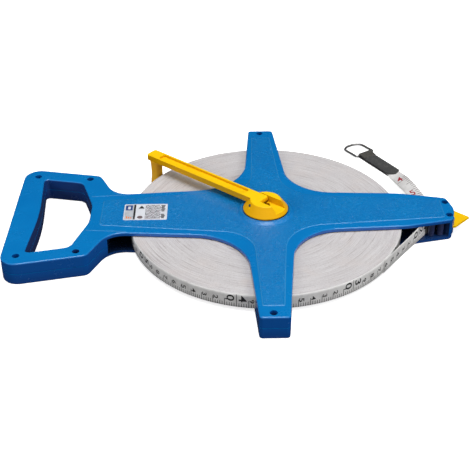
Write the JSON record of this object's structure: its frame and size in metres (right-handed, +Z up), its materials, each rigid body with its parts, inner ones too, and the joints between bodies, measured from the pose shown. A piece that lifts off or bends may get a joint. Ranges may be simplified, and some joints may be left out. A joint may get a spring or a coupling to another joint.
{
  "type": "surveyor tape reel",
  "caption": "Open-frame surveyor's tape reel lying flat: D handle, cross arms, wound fibreglass tape, folding crank, guide nose with ground spike, free tape end with ring.",
  "frame": {"origin": "on the reel's axis, in the plane that the reel lies on", "axes": "+X from the hub to the nose and its spike, +Z up the reel's axis, +Y to the side where the tape's end comes out"},
  "size_m": [0.4077, 0.3131, 0.033],
  "materials": {
    "blue_shell": "fine-textured moulded plastic",
    "yellow_crank": "smooth moulded plastic",
    "yellow_spike": "moulded plastic",
    "tape_coil": "edges of wound fibreglass tape",
    "tape_strip": "printed PVC-coated fibreglass",
    "spool": "moulded plastic",
    "steel": "zinc-plated steel",
    "ring_wire": "polished steel wire",
    "webbing": "black polypropylene webbing",
    "roller": "acetal",
    "washer": "nylon",
    "label_paper": "laminated sticker"
  },
  "bodies": {
    "frame": {"lower_frame": "blue_shell", "upper_frame": "blue_shell", "handle_screws": "steel", "arm_screws": "steel", "nose_screws": "steel", "ground_spike": "yellow_spike", "label": "label_paper", "guide_pins": "steel", "tape_lead": "tape_strip", "end_tab": "webbing", "tab_rivets": "steel"},
    "reel": {"spool_lower": "spool", "spool_upper": "spool", "tape_pack": "tape_coil", "tape_anchor": "steel", "crank_hub": "yellow_crank", "crank_pin": "steel", "hub_screw": "steel", "lower_bearing": "spool", "drag_washer": "washer"},
    "crank": {"crank_arm": "yellow_crank", "grip_post": "steel"},
    "grip": {"crank_grip": "yellow_crank"},
    "roller_outer": {"guide_roller_outer": "roller"},
    "roller_inner": {"guide_roller_inner": "roller"},
    "roller_rear": {"guide_roller_rear": "roller"},
    "ring": {"d_ring": "ring_wire"}
  },
  "joints": [
    {"name": "reel_spin", "type": "hinge", "parent": "frame", "child": "reel", "pos_m": [0, 0, 0.0105], "axis": [0, 0, 1], "range_deg": [-40, 22]},
    {"name": "crank_flip", "type": "hinge", "parent": "reel", "child": "crank", "pos_m": [-0.00532, 0.00455, 0.02975], "axis": [0.6494, 0.7604, 0], "range_deg": [0, 180]},
    {"name": "grip_spin", "type": "hinge", "parent": "crank", "child": "grip", "pos_m": [-0.10113, 0.08638, 0.014], "axis": [0, 0, 1], "continuous": true},
    {"name": "roller_outer_spin", "type": "hinge", "parent": "frame", "child": "roller_outer", "pos_m": [0.1545, -0.015, 0.0105], "axis": [0, 0, 1], "continuous": true},
    {"name": "roller_inner_spin", "type": "hinge", "parent": "frame", "child": "roller_inner", "pos_m": [0.1462, -0.0162, 0.0105], "axis": [0, 0, 1], "continuous": true},
    {"name": "roller_rear_spin", "type": "hinge", "parent": "frame", "child": "roller_rear", "pos_m": [0.1345, 0.013, 0.0105], "axis": [0, 0, 1], "continuous": true},
    {"name": "ring_swing", "type": "hinge", "parent": "frame", "child": "ring", "pos_m": [0.10711, 0.13587, 0.0025], "axis": [0.849, 0.5284, 0], "range_deg": [0, 160]}
  ]
}
